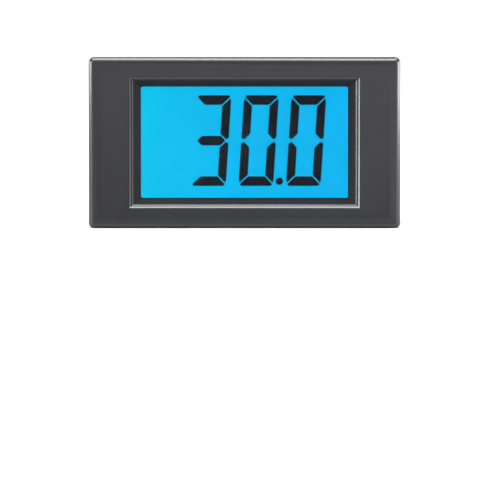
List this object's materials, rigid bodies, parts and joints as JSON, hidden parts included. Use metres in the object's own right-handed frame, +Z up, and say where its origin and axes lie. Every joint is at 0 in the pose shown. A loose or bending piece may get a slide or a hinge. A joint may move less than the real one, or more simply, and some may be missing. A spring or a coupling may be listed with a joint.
{
  "type": "digital panel meter",
  "caption": "Snap-in rectangular panel meter with a backlit blue liquid crystal readout, two side clips and a green two-pole screw terminal at the back.",
  "frame": {"origin": "centre of the bezel flange's rear face, in the plane of the panel's front", "axes": "+X to the right as seen from the front, +Y back through the panel, +Z up"},
  "size_m": [0.0792, 0.0281, 0.0434],
  "materials": {
    "case_front": "satin moulded ABS",
    "case_rear": "satin moulded ABS",
    "clip": "satin moulded nylon",
    "label": "white paper film, unprinted",
    "polarizer": "clear film with a soft sheen",
    "lcd_glass": "clear sheet glass",
    "seal": "epoxy bead",
    "segment": "black liquid crystal area",
    "display_glow": "blue backlit film",
    "film": "white optical film",
    "acrylic": "clear acrylic",
    "board": "green solder resist on glass fibre",
    "led": "moulded lamp body",
    "frame_plastic": "white moulded plastic",
    "tinned_pin": "tinned bronze",
    "steel_screw": "zinc plated",
    "epoxy": "black epoxy",
    "capacitor_red": "dipped epoxy",
    "capacitor_sleeve": "shrink sleeve",
    "resistor": "lacquer",
    "trimmer_blue": "moulded plastic",
    "trimmer_white": "moulded plastic",
    "terminal_green": "moulded polyamide",
    "terminal_screw": "bright zinc plated",
    "cage": "nickel plated brass",
    "tinned_bar": "tinned copper alloy"
  },
  "bodies": {
    "case": {"front_housing": "case_front", "rear_cover": "case_rear", "rating_label": "label", "front_polarizer": "polarizer", "front_glass": "lcd_glass", "cell_seal": "seal", "lcd_segments": "segment", "rear_glass": "lcd_glass", "rear_polarizer": "display_glow", "diffuser_film": "film", "light_guide": "acrylic", "reflector_film": "film", "backlight_board": "board", "backlight_leds": "led", "display_frame": "frame_plastic", "contact_pins_top": "tinned_pin", "contact_pins_bottom": "tinned_pin", "circuit_board": "board", "board_screws": "steel_screw", "driver_chip": "epoxy", "film_capacitors": "capacitor_red", "smoothing_capacitor": "capacitor_sleeve", "resistors": "resistor", "voltage_regulator": "epoxy", "protection_diode": "epoxy", "trimmer_body": "trimmer_blue", "terminal_block": "terminal_green", "contact_bar_left": "tinned_bar", "contact_bar_right": "tinned_bar"},
    "clip_left": {"panel_clip_left": "clip"},
    "clip_right": {"panel_clip_right": "clip"},
    "screw_left": {"terminal_screw_left": "terminal_screw"},
    "screw_right": {"terminal_screw_right": "terminal_screw"},
    "cage_left": {"wire_cage_left": "cage"},
    "cage_right": {"wire_cage_right": "cage"},
    "trimmer": {"trimmer_rotor": "trimmer_white"}
  },
  "joints": [
    {"name": "clip_left_flex", "type": "hinge", "parent": "case", "child": "clip_left", "pos_m": [-0.03505, 0.011, 0], "axis": [0, 0, 1], "range_deg": [0, 12], "stiffness_Nm_per_rad": 0.35},
    {"name": "clip_right_flex", "type": "hinge", "parent": "case", "child": "clip_right", "pos_m": [0.03505, 0.011, 0], "axis": [0, 0, -1], "range_deg": [0, 12], "stiffness_Nm_per_rad": 0.35},
    {"name": "screw_left_turn", "type": "hinge", "parent": "case", "child": "screw_left", "pos_m": [-0.00341, 0.024, 0.0146], "axis": [0, -1, 0], "range_deg": [0, 1440]},
    {"name": "cage_left_lift", "type": "slide", "parent": "case", "child": "cage_left", "axis": [0, 1, 0], "range_m": [0, 0.002]},
    {"name": "screw_right_turn", "type": "hinge", "parent": "case", "child": "screw_right", "pos_m": [0.00421, 0.024, 0.0146], "axis": [0, -1, 0], "range_deg": [0, 1440]},
    {"name": "cage_right_lift", "type": "slide", "parent": "case", "child": "cage_right", "axis": [0, 1, 0], "range_m": [0, 0.002]},
    {"name": "trimmer_turn", "type": "hinge", "parent": "case", "child": "trimmer", "pos_m": [0.021, 0.013, 0.0085], "axis": [0, 1, 0], "range_deg": [-135, 135]}
  ],
  "couplings": [
    {"joint": "screw_left_turn", "follows": "cage_left_lift", "rad_per_m": 12566},
    {"joint": "screw_right_turn", "follows": "cage_right_lift", "rad_per_m": 12566}
  ]
}
